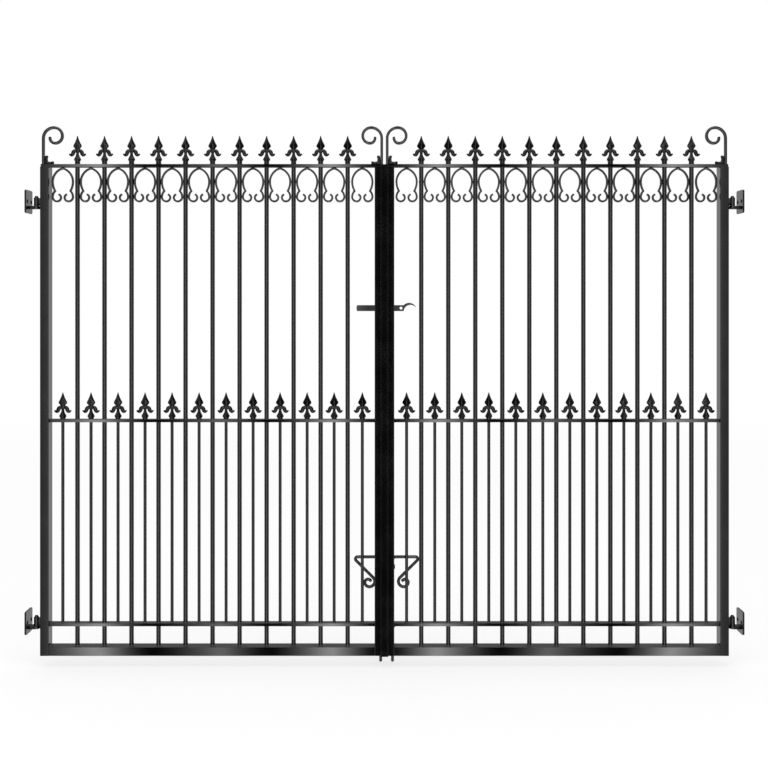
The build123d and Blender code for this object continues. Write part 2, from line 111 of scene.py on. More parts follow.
# Node helpers
class Nodes:
    """A short way to build one material's node tree."""

    def __init__(self, owner):
        owner.use_nodes = True
        self.tree = owner.node_tree
        self.tree.nodes.clear()

    def add(self, kind, **values):
        node = self.tree.nodes.new(kind)
        for name, value in values.items():
            if name in node.inputs:
                node.inputs[name].default_value = value
            else:
                setattr(node, name, value)
        return node

    def link(self, source, target):
        self.tree.links.new(source, target)

    def noise(self, coords, scale, detail=2.0, roughness=0.5):
        node = self.add("ShaderNodeTexNoise", Scale=scale, Detail=detail, Roughness=roughness)
        self.link(coords, node.inputs["Vector"])
        return node.outputs["Fac"]

    def spread(self, value, low_out, high_out, low_in=0.3, high_in=0.7):
        node = self.add("ShaderNodeMapRange")
        for index, number in enumerate((low_in, high_in, low_out, high_out)):
            node.inputs[index + 1].default_value = number
        self.link(value, node.inputs[0])
        return node.outputs[0]

    def math(self, operation, first, second):
        node = self.add("ShaderNodeMath", operation=operation)
        for index, item in enumerate((first, second)):
            if isinstance(item, (int, float)):
                node.inputs[index].default_value = item
            else:
                self.link(item, node.inputs[index])
        return node.outputs[0]

    def bump(self, height, strength, distance, normal=None):
        node = self.add("ShaderNodeBump", Strength=strength, Distance=distance)
        self.link(height, node.inputs["Height"])
        if normal:
            self.link(normal, node.inputs["Normal"])
        return node.outputs["Normal"]

    def mix_colour(self, factor, first, second):
        """A mix node keeps a set of sockets for each kind of data: 6, 7 and 2 are the colours'."""
        node = self.add("ShaderNodeMix", data_type="RGBA")
        self.link(factor, node.inputs["Factor"])
        node.inputs[6].default_value = (*first, 1)
        node.inputs[7].default_value = (*second, 1)
        return node.outputs[2]


# Paint: black powder coat with orange peel, thin dust on what faces up, uneven gloss
PAINT = (0.0018, 0.0018, 0.0021)
PAINT_DUSTY = (0.012, 0.0115, 0.011)
# The coat is thin and dry on undersides, and dusty on what faces up
DRY_ROUGHNESS = 0.6
# How finely each kind of unevenness repeats
GRIME_SCALE = 7
DUST_SCALE = 90
GLOSS_SCALE = 16
WAVE_SCALE = 3.1
GRAIN_SCALE = 900
# Share of dust in the grimy patches, and in the thinnest dust on what faces up
GRIME_SHARE = 0.12
THIN_DUST = 0.45
# Heights of the bumps in metres, and how strongly the long waves in the steel show
WAVE_HEIGHT = 0.006
WAVE_STRENGTH = 0.05
PEEL_HEIGHT = 0.0004
# Polish where a bolt slides in its guides, and how far it reaches from each height
RUB_POLISH = 0.06
RUB_REACH = 0.03


def paint(name, gloss=(0.03, 0.07), peel=260, peel_depth=0.015, grain=0, specular=0.5, rub_zs=()):
    """gloss is the lowest and highest roughness; peel is the orange peel's scale, peel_depth its depth."""
    material = bpy.data.materials.new(name)
    tree = Nodes(material)
    shader = tree.add("ShaderNodeBsdfPrincipled", IOR=1.5)
    shader.inputs["Specular IOR Level"].default_value = specular
    output = tree.add("ShaderNodeOutputMaterial")
    tree.link(shader.outputs[0], output.inputs[0])
    coords = tree.add("ShaderNodeTexCoord").outputs["Object"]
    normal_z = tree.add("ShaderNodeSeparateXYZ")
    tree.link(tree.add("ShaderNodeNewGeometry").outputs["Normal"], normal_z.inputs[0])

    grime = tree.spread(tree.noise(coords, GRIME_SCALE, 5, 0.6), 0, 1)
    upward = tree.spread(normal_z.outputs["Z"], 0, 1, 0.4, 1.0)
    dust = tree.math("MULTIPLY", upward, tree.spread(tree.noise(coords, DUST_SCALE, 4), THIN_DUST, 1))
    dirt = tree.math("MAXIMUM", dust, tree.math("MULTIPLY", grime, GRIME_SHARE))
    colour = tree.mix_colour(dirt, PAINT, PAINT_DUSTY)
    tree.link(colour, shader.inputs["Base Color"])

    roughness = tree.spread(tree.noise(coords, GLOSS_SCALE, 3), *gloss)
    level = tree.math("ABSOLUTE", normal_z.outputs["Z"], 0)
    roughness = tree.math("ADD", roughness, tree.spread(level, 0, DRY_ROUGHNESS, 0.5, 1.0))
    if rub_zs:
        roughness = tree.math("SUBTRACT", roughness, rubbed(tree, coords, rub_zs))
    tree.link(roughness, shader.inputs["Roughness"])

    normal = tree.bump(tree.noise(coords, WAVE_SCALE, 2), WAVE_STRENGTH, WAVE_HEIGHT)
    if grain:
        normal = tree.bump(tree.noise(coords, GRAIN_SCALE, 4, 0.7), grain, PEEL_HEIGHT, normal)
    normal = tree.bump(tree.noise(coords, peel, 2), peel_depth, PEEL_HEIGHT, normal)
    tree.link(normal, shader.inputs["Normal"])
    return material


def rubbed(tree, coords, rub_zs):
    """Bands polished by sliding, centred on heights along the object's own Z."""
    z = tree.add("ShaderNodeSeparateXYZ")
    tree.link(coords, z.inputs[0])
    bands = []
    for height in rub_zs:
        away = tree.math("ABSOLUTE", tree.math("SUBTRACT", z.outputs["Z"], height), 0)
        bands.append(tree.spread(away, RUB_POLISH, 0, 0, RUB_REACH))
    total = bands[0]
    for band in bands[1:]:
        total = tree.math("ADD", total, band)
    return total


IRONWORK = paint("black_powder_coat")
CASTING = paint(
    "black_cast_iron", gloss=(0.12, 0.20), peel=420, peel_depth=0.03, grain=0.03, specular=0.3
)
BAR_PAINT = paint("black_bar_paint", gloss=(0.07, 0.12), peel=320)
GUIDE_ZS = (low("left_bolt_guides").z, high("left_bolt_guides").z)
FITTING = paint("black_fittings", gloss=(0.10, 0.16), peel=300, rub_zs=GUIDE_ZS)


# Mesh helpers: shapes are collected in a bmesh and become one object
def skin(bm, rings, looped=False):
    """Joins rings of points, each the same count, into a tube, capped unless it closes on itself."""
    rings = [[bm.verts.new(point) for point in ring] for ring in rings]
    pairs = list(zip(rings, rings[1:]))
    if looped:
        pairs.append((rings[-1], rings[0]))
    for ring, following in pairs:
        for i in range(len(ring)):
            j = (i + 1) % len(ring)
            bm.faces.new((ring[i], ring[j], following[j], following[i]))
    if not looped:
        bm.faces.new(reversed(rings[0]))
        bm.faces.new(rings[-1])


def revolve(bm, centre, profile, sides, looped=False, ripple=0.0, waves=0):
    """Turns (radius, height) points about a vertical line through centre."""
    rings = []
    for i in range(sides):
        angle = 2 * math.pi * i / sides
        swell = ripple * math.cos(waves * angle)
        ring = []
        for radius, height in profile:
            reach = radius + swell
            ring.append(centre + Vector((reach * math.cos(angle), reach * math.sin(angle), height)))
        rings.append(ring)
    if looped:
        skin(bm, rings, looped=True)
    else:
        skin(bm, [list(level) for level in zip(*rings)])


def make_piece(bm, name, body, material, replaces=(), smooth=40):
    """Makes the bmesh a piece; edges above smooth degrees stay sharp."""
    bmesh.ops.recalc_face_normals(bm, faces=bm.faces)
    mesh = bpy.data.meshes.new(name)
    bm.to_mesh(mesh)
    bm.free()
    return place_mesh(mesh, name, body, material, replaces, smooth)


def place_mesh(mesh, name, body, material, replaces=(), smooth=40):
    mesh.shade_smooth()
    mesh.set_sharp_from_angle(angle=math.radians(smooth))
    piece = bpy.data.objects.new(name, mesh)
    bpy.context.scene.collection.objects.link(piece)
    mesh.materials.clear()
    mesh.materials.append(material)
    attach(piece, body)
    if replaces:
        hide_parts(*replaces)
    return piece


def mirrored(mesh, name):
    """A copy of a left leaf's mesh, mirrored about the middle of the gate."""
    copy = mesh.copy()
    copy.name = name
    for vertex in copy.vertices:
        vertex.co.x = 2 * MIDDLE_X - vertex.co.x
    copy.flip_normals()
    return copy


def make_pair(bm, name, material, replaces=(), smooth=40):
    """The left leaf's piece, and its mirror image on the right leaf."""
    left_nodes = [f"left_{node}" for node in replaces]
    right_nodes = [f"right_{node}" for node in replaces]
    left = make_piece(bm, f"left_{name}", "left_leaf", material, replaces=left_nodes, smooth=smooth)
    copy = mirrored(left.data, f"right_{name}")
    place_mesh(copy, f"right_{name}", "right_leaf", material, replaces=right_nodes, smooth=smooth)


# Paths in the plane of the gate, as (x, z) points, with headings in degrees and a point this often
FINE_STEP = 9
# A sharp corner's mitre widens the section no more than 1 over this
MITRE_FLOOR = 0.5
# A rounded end goes on past the last point by these shares of its reach
ROUND_SHARES = (0, 0.5, 0.85, 0.98)


def arc(point, heading, radius, turn):
    """Points after the first along an arc, left turns positive, and the heading at its end."""
    count = max(2, math.ceil(abs(turn) / FINE_STEP))
    side = math.copysign(1, turn)
    start = math.radians(heading)
    centre_x = point[0] - side * radius * math.sin(start)
    centre_z = point[1] + side * radius * math.cos(start)
    points = []
    for i in range(1, count + 1):
        angle = start + math.radians(turn * i / count)
        x = centre_x + side * radius * math.sin(angle)
        z = centre_z - side * radius * math.cos(angle)
        points.append((x, z))
    return points, heading + turn


def arc_to(point, heading, target):
    """An arc that leaves point along heading and ends at target."""
    across = target[0] - point[0]
    up = target[1] - point[1]
    bearing = math.degrees(math.atan2(up, across))
    half = (bearing - heading + 180) % 360 - 180
    radius = math.hypot(across, up) / (2 * math.sin(math.radians(abs(half))))
    return arc(point, heading, radius, 2 * half)


def follow(start, heading, moves):
    """Chains ("line", length) and ("arc", radius, turn) moves into points."""
    points = [start]
    for kind, size, *turn in moves:
        x, z = points[-1]
        if kind == "line":
            angle = math.radians(heading)
            points.append((x + size * math.cos(angle), z + size * math.sin(angle)))
        else:
            more, heading = arc((x, z), heading, size, turn[0])
            points += more
    return points


def sweep(bm, path, section, y=0.0, scales=None):
    """Sweeps a section of (in plane, along Y) points down a path of (x, z) points."""
    rings = []
    for i, (x, z) in enumerate(path):
        before = path[max(i - 1, 0)]
        after = path[min(i + 1, len(path) - 1)]
        into = Vector((x - before[0], z - before[1]))
        out = Vector((after[0] - x, after[1] - z))
        into = (into if into.length else out).normalized()
        out = (out if out.length else into).normalized()
        along = (into + out).normalized()
        mitre = 1 / max(along.dot(out), MITRE_FLOOR)
        scale = scales[i] if scales else 1
        rings.append([
            Vector((x - along.y * u * mitre * scale, y + v * scale, z + along.x * u * mitre * scale))
            for u, v in section
        ])
    skin(bm, rings)


def rounded_box(wide, deep, corner, steps=2):
    """A rectangle with rounded corners, as (in plane, along Y) points."""
    points = []
    for quarter in range(4):
        for i in range(steps + 1):
            angle = math.radians(90 * quarter + 90 * i / steps)
            across = (wide / 2 - corner) * (1 if quarter in (0, 3) else -1)
            along = (deep / 2 - corner) * (1 if quarter in (0, 1) else -1)
            points.append((across + corner * math.cos(angle), along + corner * math.sin(angle)))
    return points


def circle(radius, sides):
    """A circle, as (in plane, along Y) points."""
    angles = [2 * math.pi * i / sides for i in range(sides)]
    return [(radius * math.cos(angle), radius * math.sin(angle)) for angle in angles]


def end_round(path, reach):
    """The last point and three more towards a rounded end, reach past it."""
    (x0, z0), (x1, z1) = path[-2:]
    size = math.hypot(x1 - x0, z1 - z0)
    across, up = (x1 - x0) / size, (z1 - z0) / size
    return [(x1 + across * reach * share, z1 + up * reach * share) for share in ROUND_SHARES]


# Round bars through the punched flats, each with a collar of weld and paint at every joint
BAR_SIDES_FINE = 24
COLLAR = 1.6 * MM
COLLAR_SIDES = 20
# A collar's section from the flat up to the bar, as shares of its size
COLLAR_SHARES = [(0.82, 0.16), (0.36, 0.42), (0.10, 0.95)]
COLLAR_TOP = 1.1
# How far welds reach into the bar and the flat that they join
WELD_BITE = 0.3 * MM
WELD_LAP = 0.2 * MM
# The collar round the foot of a bar: size, height and number of its ripples
FOOT_COLLAR = (2.6 * MM, 0.25 * MM, 11)


def collar(bm, x, z, radius, up, size=COLLAR, ripple=0.0, waves=0):
    """A fillet round a bar, where it meets a flat at height z: up is 1 above the flat, -1 below it."""
    inner = radius - WELD_BITE
    profile = [(inner, -up * WELD_LAP), (radius + size, -up * WELD_LAP)]
    profile += [(radius + size * out, up * size * rise) for out, rise in COLLAR_SHARES]
    profile.append((inner, up * size * COLLAR_TOP))
    revolve(bm, Vector((x, 0, z)), profile, COLLAR_SIDES, looped=True, ripple=ripple, waves=waves)


def round_bars(name, xs, radius, foot, head, flats):
    """flats are the (underside, top) heights of the flats that the bars pass through."""
    bm = bmesh.new()
    for x in xs:
        revolve(bm, Vector((x, 0, foot)), [(radius, 0), (radius, head - foot)], BAR_SIDES_FINE)
        for underside, top in flats:
            collar(bm, x, underside, radius, -1)
            if top < head:
                collar(bm, x, top, radius, 1)
        collar(bm, x, foot, radius, 1, *FOOT_COLLAR)
    make_pair(bm, name, BAR_PAINT, [name])


LOWER_FLAT = (low("left_lower_flat").z, high("left_lower_flat").z)
MIDDLE_FLAT = (low("left_middle_flat").z, high("left_middle_flat").z)
TOP_FLAT = (TOP_UNDER, TOP_SEAT)

# Cast spearheads, in mm: how high the bud's widest line is over its seat
MAIN_BUD_LIFT = 17
DOG_BUD_LIFT = 10
# The round socket under the bud: half width, half depth and roundness, and where it starts and ends
SOCKET = (8.75, 8.75, 2.0)
SOCKET_LIFT = 0.2
SOCKET_TOP = -7.4
# Rows of (height over the widest line, half width, half depth, roundness): 1 is a diamond, 2 an ellipse
BUD_LEVELS = [
    (-7.5, 8.75, 8.75, 2.0),
    (-6.2, 8.6, 8.4, 1.8),
    (-2.5, 11.4, 8.6, 1.45),
    (0, 12.5, 9.0, 1.3),
    (2.2, 11.9, 8.6, 1.3),
    (8, 8.9, 6.7, 1.3),
    (14, 5.8, 4.9, 1.4),
    (21, 4.4, 3.8, 1.6),
]
SPEAR_LEVELS = [
    (18, 4.2, 3.8, 1.6),
    (26, 5.2, 4.4, 1.6),
    (33.5, 6.6, 4.8, 1.5),
    (38, 9.0, 5.3, 1.25),
    (43.5, 13.4, 6.1, 1.12),
    (47.2, 14.75, 6.5, 1.08),
    (50.5, 13.9, 6.3, 1.08),
    (58, 9.9, 5.2, 1.08),
    (66, 6.2, 3.9, 1.1),
    (75, 3.0, 2.4, 1.2),
    (81.5, 1.1, 1.1, 1.6),
    (82.9, 0.5, 0.5, 2.0),
]
# Centreline of a hooked arm, as (reach, height, radius) in mm
ARM_LINE = [
    (0, 29.6, 5.6),
    (6, 30.6, 5.2),
    (11.2, 29.2, 6.3),
    (14.4, 25.6, 6.9),
    (16.1, 20.9, 6.5),
    (18.1, 17.4, 6.0),
    (21.6, 16.2, 5.2),
    (25.4, 17.2, 3.7),
    (28.0, 19.0, 2.2),
    (29.4, 20.6, 0.9),
]
ARM_FLATNESS = 0.82
LEVEL_POINTS = 32
# Melting: its voxel, what it takes off in mm, the share of faces kept and the rounds of smoothing
CAST_VOXEL = 0.75 * MM
CAST_GAIN = 0.45
CAST_FACES = 0.17
CAST_SMOOTHING = 2
TUBE_SIDES = 16
# The collar round a spearhead's socket: size, height and number of its ripples
SOCKET_COLLAR = (1.3 * MM, 0.15 * MM, 9)


def between(a, b, c, d, t):
    """The Catmull-Rom curve through b and c, at share t of the way."""
    square = (2 * a - 5 * b + 4 * c - d) * t * t
    cube = (3 * b - a - 3 * c + d) * t ** 3
    return 0.5 * (2 * b + (c - a) * t + square + cube)


def smooth_rows(rows, extra=3):
    """Catmull-Rom rows between the given ones."""
    result = []
    for i in range(len(rows) - 1):
        before = rows[max(i - 1, 0)]
        start, end = rows[i], rows[i + 1]
        after = rows[min(i + 2, len(rows) - 1)]
        for step in range(extra):
            t = step / extra
            result.append(tuple(between(*values, t) for values in zip(before, start, end, after)))
    result.append(rows[-1])
    return result


def level_ring(height, half_width, half_depth, roundness):
    ring = []
    for i in range(LEVEL_POINTS):
        angle = 2 * math.pi * i / LEVEL_POINTS
        c, s = math.cos(angle), math.sin(angle)
        across = math.copysign(abs(c) ** (2 / roundness), c)
        along = math.copysign(abs(s) ** (2 / roundness), s)
        ring.append(Vector((across * (half_width + CAST_GAIN), along * half_depth, height)) * MM)
    return ring


def tapered_tube(bm, line, flatness, side=1, lift=0.0):
    """A tube of round sections along (x, z, radius) rows in mm, flattened along Y."""
    rows = smooth_rows(line)
    rings = []
    for i, (x, z, radius) in enumerate(rows):
        before, after = rows[max(i - 1, 0)], rows[min(i + 1, len(rows) - 1)]
        along = Vector((after[0] - before[0], after[1] - before[1])).normalized()
        ring = []
        for u, v in circle(radius, TUBE_SIDES):
            ring.append(Vector((side * (x - along.y * u), v * flatness, z + lift + along.x * u)) * MM)
        rings.append(ring)
    skin(bm, rings)


def cast(bm, name, voxel=CAST_VOXEL, faces=CAST_FACES):
    """Melts overlapping shapes into one casting with filleted corners."""
    bmesh.ops.recalc_face_normals(bm, faces=bm.faces)
    mesh = bpy.data.meshes.new(name)
    bm.to_mesh(mesh)
    bm.free()
    blank = bpy.data.objects.new(name, mesh)
    bpy.context.scene.collection.objects.link(blank)
    remesh = blank.modifiers.new("melt", "REMESH")
    remesh.mode = "VOXEL"
    remesh.voxel_size = voxel
    soften = blank.modifiers.new("soften", "SMOOTH")
    soften.iterations = CAST_SMOOTHING
    soften.factor = 0.5
    thin = blank.modifiers.new("thin", "DECIMATE")
    thin.ratio = faces
    melted = blank.evaluated_get(bpy.context.evaluated_depsgraph_get())
    casting = bpy.data.meshes.new_from_object(melted)
    bpy.data.objects.remove(blank)
    return casting


def spearhead_casting(bud_lift):
    """One spearhead on its seat at the origin, fuller by CAST_GAIN for what the melting takes off."""
    bm = bmesh.new()
    socket = [(-bud_lift + SOCKET_LIFT, *SOCKET), (SOCKET_TOP, *SOCKET)]
    for rows in (socket, smooth_rows(BUD_LEVELS), smooth_rows(SPEAR_LEVELS)):
        skin(bm, [level_ring(height + bud_lift, *row) for height, *row in rows])
    for side in (-1, 1):
        fuller = [(x, z, radius + CAST_GAIN) for x, z, radius in ARM_LINE]
        tapered_tube(bm, fuller, ARM_FLATNESS, side, bud_lift)
    return cast(bm, "spearhead_blank")


def copies(casting, places):
    """One bmesh with the casting at each place."""
    bm = bmesh.new()
    for place in places:
        start = len(bm.verts)
        bm.from_mesh(casting)
        bm.verts.ensure_lookup_table()
        bmesh.ops.translate(bm, vec=place, verts=bm.verts[start:])
    return bm


def spearheads(name, bud_lift, xs, seat):
    casting = spearhead_casting(bud_lift)
    bm = copies(casting, [Vector((x, 0, seat)) for x in xs])
    for x in xs:
        collar(bm, x, seat, SOCKET[0] * MM - WELD_LAP, 1, *SOCKET_COLLAR)
    bpy.data.meshes.remove(casting)
    make_pair(bm, name, CASTING, [name], smooth=50)


# Arch rings: one bent bar a bay, hung under the top flat
RING_BAR = 7 * MM
RING_DEPTH = 8 * MM
RING_CORNER = 1.6 * MM
RING_GAP = 0.2 * MM
RING_REACH = PITCH / 2 - BAR_RADIUS - RING_GAP - RING_BAR / 2
RING_LOW = low("left_arch_rings").z - TOP_UNDER + RING_BAR / 2
FOOT_OUTER = 15.5 * MM
FOOT_INNER = 13.5 * MM
FOOT_END = 11 * MM
FOOT_END_TURN = 75
CUSP = (RING_REACH - 8.5 * MM, -82 * MM)
SHOULDER_DROP = 50 * MM
SHOULDER = (48.5 * MM, 52)
CROWN = (0, -RING_BAR / 2 - 0.3 * MM)
# Half sizes of the lumps of weld at a ring's crown and where it touches a bar
CROWN_TACK = (5.5 * MM, 4.6 * MM, 1.6 * MM)
SIDE_TACK = (1.2 * MM, 2.0 * MM, 1.8 * MM)
# The second one's place, out from the bar and back from its middle
SIDE_TACK_OUT = 0.3 * MM
SIDE_TACK_Y = 2.6 * MM


def ring_path():
    """Half of the ring from foot to crown, then its mirror image."""
    foot_x = RING_REACH - FOOT_OUTER
    end_x = foot_x - FOOT_INNER + FOOT_END
    end_angle = math.radians(180 - FOOT_END_TURN)
    end_z = RING_LOW + FOOT_INNER
    start = (end_x + FOOT_END * math.cos(end_angle), end_z + FOOT_END * math.sin(end_angle))
    foot = follow(start, 270 - FOOT_END_TURN, [
        ("arc", FOOT_END, FOOT_END_TURN),
        ("arc", FOOT_INNER, 90),
        ("arc", FOOT_OUTER, 90),
    ])
    ankle, _ = arc_to(foot[-1], 90, CUSP)
    widest = (RING_REACH, -SHOULDER_DROP)
    waist, _ = arc_to(widest, 270, CUSP)
    shoulder, heading = arc(widest, 90, *SHOULDER)
    arch, _ = arc_to(shoulder[-1], heading, CROWN)
    half = foot + ankle + list(reversed(waist[:-1])) + [widest] + shoulder + arch
    return half + [(-x, z) for x, z in reversed(half[:-1])]


def arch_rings():
    path = ring_path()
    section = rounded_box(RING_BAR, RING_DEPTH, RING_CORNER)
    bm = bmesh.new()
    for x in BAY_XS:
        sweep(bm, [(x + u, TOP_UNDER + w) for u, w in path], section)
        tack(bm, (x, 0, TOP_UNDER), CROWN_TACK)
    for x in BAR_XS:
        for side in (-1, 1):
            place = (x + side * (BAR_RADIUS + SIDE_TACK_OUT), SIDE_TACK_Y, TOP_UNDER - SHOULDER_DROP)
            tack(bm, place, SIDE_TACK)
    make_pair(bm, "arch_rings", BAR_PAINT, ["arch_rings"], smooth=50)


def tack(bm, place, size):
    """A small lump of weld: half sizes along X, Y and Z."""
    made = bmesh.ops.create_icosphere(bm, subdivisions=2, radius=1)
    bmesh.ops.scale(bm, vec=size, verts=made["verts"])
    bmesh.ops.translate(bm, vec=place, verts=made["verts"])


# Corner scrolls, each a bar that curls inwards over its stile
SCROLL_BAR = 11 * MM
# How much slimmer the bar is on each side than the frame's, as in the photograph
SCROLL_SLIM = 0.7 * MM
# Room kept under the top of the frame's scrolls
SCROLL_ROOM = 0.1 * MM
SCROLL_CORNER = 2.6 * MM
SCROLL_END_SCALES = [0.93, 0.72, 0.32]
SCROLL_TALL = high("left_corner_scrolls").z - TOP_SEAT
# Radii of the quarter turns from the outside in, in mm
SCROLL_RADII = (37, 29, 25.3, 17.5)


def corner_scrolls():
    line = SCROLL_BAR / 2
    rise = SCROLL_TALL - SCROLL_ROOM - (line - SCROLL_SLIM) - SCROLL_RADII[0] * MM
    moves = [("line", rise / 2), ("line", rise / 2)]
    moves += [("arc", radius * MM, -90) for radius in SCROLL_RADII]
    path = follow((line, 0), 90, moves)
    path[-1:] = end_round(path, line)
    scales = [1.0] * (len(path) - 3) + SCROLL_END_SCALES
    section = rounded_box(SCROLL_BAR - 2 * SCROLL_SLIM, SCROLL_BAR, SCROLL_CORNER, 3)
    bm = bmesh.new()
    sweep(bm, [(LEAF_START + u, TOP_SEAT + w) for u, w in path], section, scales=scales)
    sweep(bm, [(LEAF_END - u, TOP_SEAT + w) for u, w in path], section, scales=scales)
    for x in (LEAF_START + line, LEAF_END - line):
        for side in (-1, 1):
            bead(bm, (x - line, side * line, TOP_SEAT), (x + line, side * line, TOP_SEAT), WELD)
    make_pair(bm, "corner_scrolls", BAR_PAINT, ["corner_scrolls"], smooth=50)


# Cast leaves in the corners: (reach, height, radius) rows in mm, also used with reach and height swapped
LEAF_STEM = [
    (3.4, 0, 5.2),
    (4.6, 8, 6.4),
    (4.6, 16, 5.4),
    (4.8, 23, 5.2),
    (5.6, 27.2, 6.0),
    (5.4, 31, 3.2),
]
LEAF_TIP = [(5.0, 26, 3.8), (8.2, 28.2, 2.8), (10.4, 30.0, 1.3)]
LEAF_GUSSET = [(1.5, 1.5, 4.6), (5.6, 5.6, 6.2), (8.8, 8.8, 3.6)]
LEAF_FLATNESS = 0.95
LEAF_VOXEL = 0.5 * MM
LEAF_FACES = 0.25
# How far a leaf is let into the scroll beside it and the flat under it
LEAF_LAP = 0.3 * MM


def corner_leaves():
    bm = bmesh.new()
    for rows in (LEAF_STEM, LEAF_TIP, LEAF_GUSSET):
        tapered_tube(bm, rows, LEAF_FLATNESS)
        tapered_tube(bm, [(z, x, radius) for x, z, radius in rows], LEAF_FLATNESS)
    casting = cast(bm, "leaf_blank", LEAF_VOXEL, LEAF_FACES)
    for vertex in casting.vertices:
        vertex.co.x = max(vertex.co.x, -SCROLL_SLIM - LEAF_LAP)
        vertex.co.z = max(vertex.co.z, -LEAF_LAP)
    corner_x = LEAF_START + SCROLL_BAR
    bm = copies(casting, [Vector((corner_x, 0, TOP_SEAT))])
    for vertex in casting.vertices:
        vertex.co.x = LEAF_START + LEAF_END - (corner_x + vertex.co.x)
        vertex.co.z += TOP_SEAT
    casting.flip_normals()
    bm.from_mesh(casting)
    bpy.data.meshes.remove(casting)
    make_pair(bm, "corner_leaves", CASTING, ["corner_leaves"], smooth=60)


# Weld beads: the length of a ripple, the rings of points in one, and the sides of each ring
RIPPLE = 1.9 * MM
RIPPLE_RINGS = 3
BEAD_SIDES = 8
# Shares of a bead's radius between two ripples and at its ends
BEAD_DIP = 0.86
BEAD_TIP = 0.35
# Radii of the beads, and how far the rail's stop short of its edges
WELD = 1.5 * MM
RAIL_WELD = 1.8 * MM
RAIL_WELD_INSET = 2 * MM


def bead(bm, start, end, radius):
    """A rippled bead of weld along a straight line."""
    start, end = Vector(start), Vector(end)
    along = (end - start).normalized()
    across = along.orthogonal().normalized()
    third = along.cross(across)
    length = (end - start).length
    count = max(2 * RIPPLE_RINGS, round(length / RIPPLE) * RIPPLE_RINGS)
    rings = []
    for i in range(count + 1):
        t = i / count
        swell = BEAD_DIP + (1 - BEAD_DIP) * abs(math.cos(math.pi * t * length / RIPPLE))
        taper = min(1.0, BEAD_TIP + min(t, 1 - t) * length / (2 * radius))
        place = start + along * (t * length)
        size = radius * swell * taper
        rings.append([place + (across * u + third * v) * size for u, v in circle(1, BEAD_SIDES)])
    skin(bm, rings)


def frame_welds():
    """Beads where the rail and flats meet the stiles, above, below and behind but not in front."""
    bm = bmesh.new()
    flat_half = high("left_lower_flat").y
    rail_end = high("left_bottom_rail").y - RAIL_WELD_INSET
    for x in (INNER_START, INNER_END):
        for underside, top in (LOWER_FLAT, MIDDLE_FLAT):
            for z in (underside, top):
                bead(bm, (x, -flat_half, z), (x, flat_half, z), WELD)
            bead(bm, (x, flat_half, underside), (x, flat_half, top), WELD)
        bead(bm, (x, -rail_end, RAIL_TOP), (x, rail_end, RAIL_TOP), RAIL_WELD)
        bead(bm, (x, -flat_half, TOP_UNDER), (x, flat_half, TOP_UNDER), WELD)
    make_pair(bm, "frame_welds", IRONWORK)


# Bent rod of a drop bolt: up from its tip, out to a corner, back down and into a curl
BOLT_RADIUS = 5.5 * MM
BOLT_SIDES = 20
# The chamfer of the tip, as two steps up it and their scales
TIP_STEPS = (0.8 * MM, 1.0 * MM)
TIP_SCALES = [0.72, 0.88]
HANDLE_REACH = 99 * MM
HANDLE_TOP_RADIUS = 12 * MM
HANDLE_CORNER_RADIUS = 7.5 * MM
HANDLE_CORNER_TURN = 135
HANDLE_DIAGONAL = 72.6 * MM
# Radii in mm and turns of the curl, and its rounded end
CURL = ((19, 135), (15.5, 90), (11, 150))
CURL_END = 0.6 * BOLT_RADIUS
CURL_END_SCALES = [0.9, 0.66, 0.3]


def drop_bolt(side):
    """side is -1 for the left leaf's bolt and 1 for the right leaf's."""
    name = f"{SIDES[side > 0]}_drop_bolt"
    lowest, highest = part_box(name)
    bolt_x = (highest.x if side < 0 else lowest.x) + side * BOLT_RADIUS
    bolt_y = (lowest.y + highest.y) / 2
    corner_trim = HANDLE_CORNER_RADIUS * math.tan(math.radians(HANDLE_CORNER_TURN / 2))
    rise = highest.z - BOLT_RADIUS - lowest.z - HANDLE_TOP_RADIUS
    moves = [("line", step) for step in TIP_STEPS]
    moves += [
        ("line", rise - sum(TIP_STEPS)),
        ("arc", HANDLE_TOP_RADIUS, -side * 90),
        ("line", HANDLE_REACH - HANDLE_TOP_RADIUS - corner_trim),
        ("arc", HANDLE_CORNER_RADIUS, -side * HANDLE_CORNER_TURN),
        ("line", HANDLE_DIAGONAL * math.sqrt(2) - corner_trim),
    ]
    moves += [("arc", radius * MM, side * turn) for radius, turn in CURL]
    path = follow((bolt_x, lowest.z), 90, moves)
    path[-1:] = end_round(path, CURL_END)
    scales = TIP_SCALES + [1.0] * (len(path) - 5) + CURL_END_SCALES
    bm = bmesh.new()
    sweep(bm, path, circle(BOLT_RADIUS, BOLT_SIDES), bolt_y, scales)
    make_piece(bm, f"{name}_rod", f"{SIDES[side > 0]}_bolt", FITTING, [name], 50)


# Nodes whose shape is right, with their edges softened as drawn steel and paint leave them, in mm
LEAF_NODES = {
    "hinge_stile": 0.35,
    "meeting_stile": 0.35,
    "bottom_rail": 0.9,
    "lower_flat": 0.5,
    "middle_flat": 0.5,
    "top_flat": 0.5,
    "hinge_eyes": 0.8,
    "lock_nuts": 1.0,
    "bolt_guides": 0.6,
}
BRACKET_EDGE = 0.6
LATCH_REST_EDGE = 0.5
LATCH_PIVOT_EDGE = 0.7
CLOSING_STRIP_EDGE = 0.5
LATCH_LEVER_EDGE = 0.6
EDGE_SEGMENTS = 2
# Points closer than this are one point
SAME_POINT = 0.002 * MM
# Faces within the first angle are one face, and edges above the second are softened, in degrees
FLAT_ANGLE = 0.5
SHARP_ANGLE = 35


